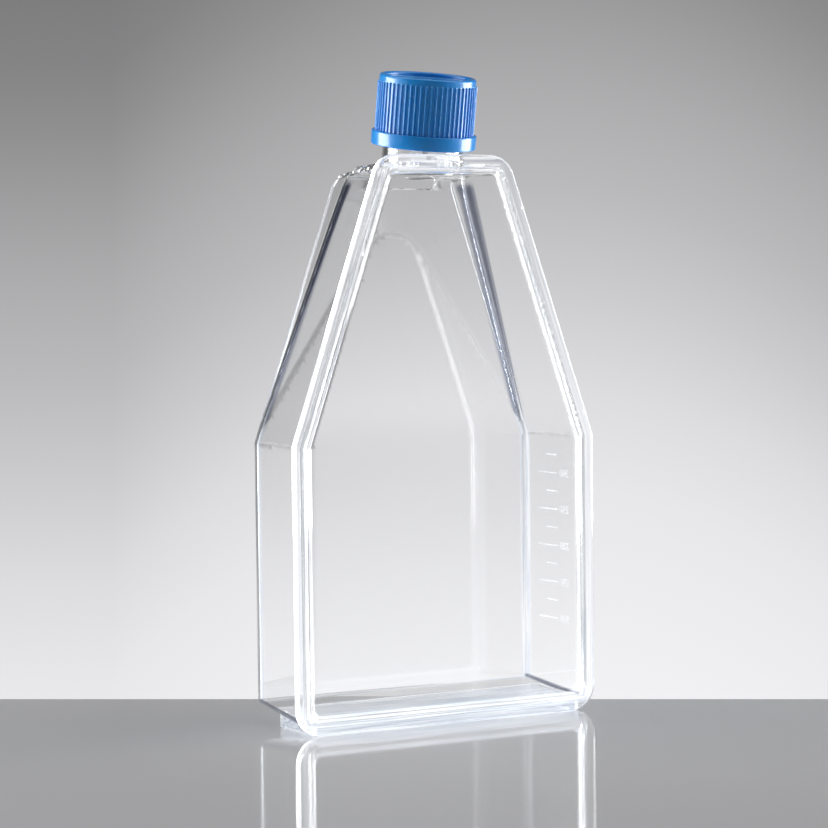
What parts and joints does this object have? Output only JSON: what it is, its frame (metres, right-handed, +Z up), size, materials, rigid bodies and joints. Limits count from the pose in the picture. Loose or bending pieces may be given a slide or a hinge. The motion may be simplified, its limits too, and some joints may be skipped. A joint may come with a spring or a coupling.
{
  "type": "cell culture flask",
  "caption": "Clear upright cell culture flask with a rimmed cover plate, sloped shoulders, a canted neck and a ribbed vented screw cap that unscrews.",
  "frame": {"origin": "middle of the bounding box's lowest face, on the surface that the flask stands on", "axes": "+Z up along the height of the standing flask, +X across its width, +Y from the rimmed cover plate towards the growth panel; the neck leans towards -Y"},
  "size_m": [0.12, 0.0458, 0.2293],
  "materials": {
    "clear_shell": "clear moulded polystyrene, polished",
    "clear_plate": "clear moulded polystyrene, polished",
    "blue_cap": "bright blue moulded polyethylene, glossy",
    "membrane": "white water-repellent filter membrane, matt"
  },
  "bodies": {
    "flask": {"body_shell": "clear_shell", "cover_plate": "clear_plate"},
    "vent": {"vent_membrane": "membrane"},
    "cap": {"cap": "blue_cap"}
  },
  "joints": [
    {"name": "cap_rise", "type": "slide", "parent": "flask", "child": "vent", "axis": [0, -0.1736, 0.9848], "range_m": [0, 0.008]},
    {"name": "cap_turn", "type": "hinge", "parent": "vent", "child": "cap", "pos_m": [0, -0.00175, 0.2022], "axis": [0, -0.1736, 0.9848], "range_deg": [0, 720]}
  ],
  "couplings": [
    {"joint": "cap_rise", "follows": "cap_turn", "m_per_rad": 0.00063662}
  ]
}
